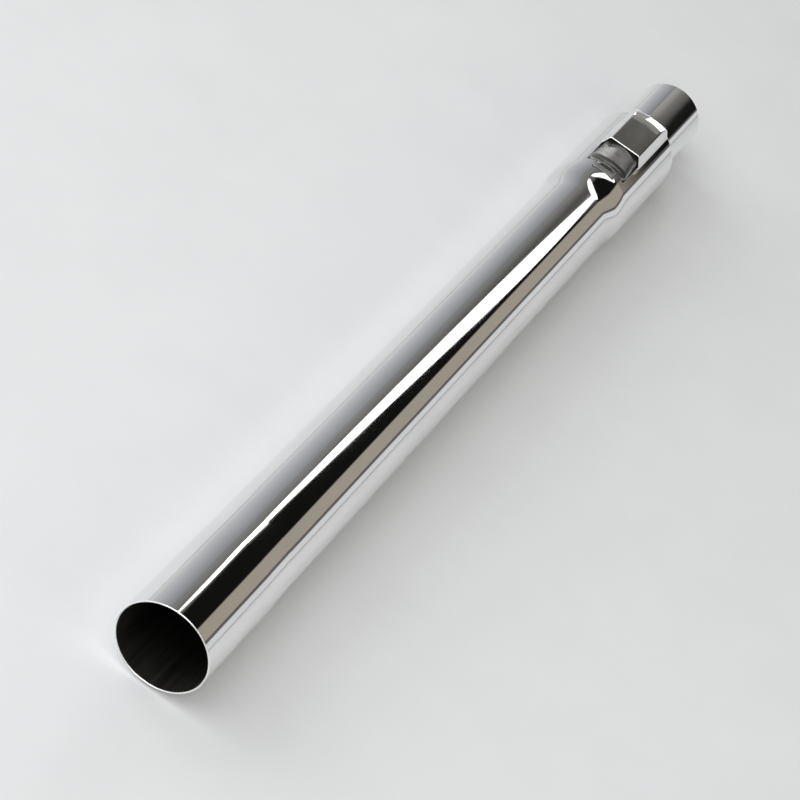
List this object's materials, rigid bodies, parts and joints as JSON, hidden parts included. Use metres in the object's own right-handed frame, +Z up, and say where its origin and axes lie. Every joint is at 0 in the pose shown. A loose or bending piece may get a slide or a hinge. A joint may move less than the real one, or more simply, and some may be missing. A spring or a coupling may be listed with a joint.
{
  "type": "telescopic vacuum wand",
  "caption": "Chromed steel telescopic vacuum wand with an open mouth, a widened end with a thumb slide lock under a pressed hood, and a sliding inner tube that takes the floor tool",
  "frame": {"origin": "centre of the open mouth, on the tubes' axis, at the mouth's rim", "axes": "+X along the tubes to the tool end, +Z up through the thumb slide, +Y to the left seen from the mouth"},
  "size_m": [0.462, 0.0384, 0.0405],
  "materials": {
    "outer_chrome": "bright chrome plate on steel tube",
    "inner_chrome": "bright chrome plate on steel tube",
    "guide_plastic": "black moulded plastic",
    "button_plastic": "satin metallic grey moulded plastic",
    "roller_steel": "ground steel",
    "spring_steel": "drawn spring wire",
    "bush_plastic": "black moulded plastic",
    "seal_rubber": "soft black rubber"
  },
  "bodies": {
    "outer": {"outer_tube": "outer_chrome", "guide_sleeve": "guide_plastic", "return_spring": "spring_steel"},
    "inner": {"inner_tube": "inner_chrome", "end_bush": "bush_plastic", "seal_ring": "seal_rubber"},
    "button": {"lock_button": "button_plastic"},
    "roller": {"lock_roller": "roller_steel"}
  },
  "joints": [
    {"name": "extend", "type": "slide", "parent": "outer", "child": "inner", "axis": [1, 0, 0], "range_m": [0, 0.288]},
    {"name": "button_slide", "type": "slide", "parent": "outer", "child": "button", "axis": [1, 0, 0], "range_m": [0, 0.005], "stiffness_N_per_m": 600, "deforming": ["return_spring"]},
    {"name": "roller_lift", "type": "slide", "parent": "outer", "child": "roller", "axis": [0, 0, 1], "range_m": [0, 0.00155]}
  ],
  "couplings": [
    {"joint": "roller_lift", "follows": "button_slide", "ratio": 0.31}
  ]
}
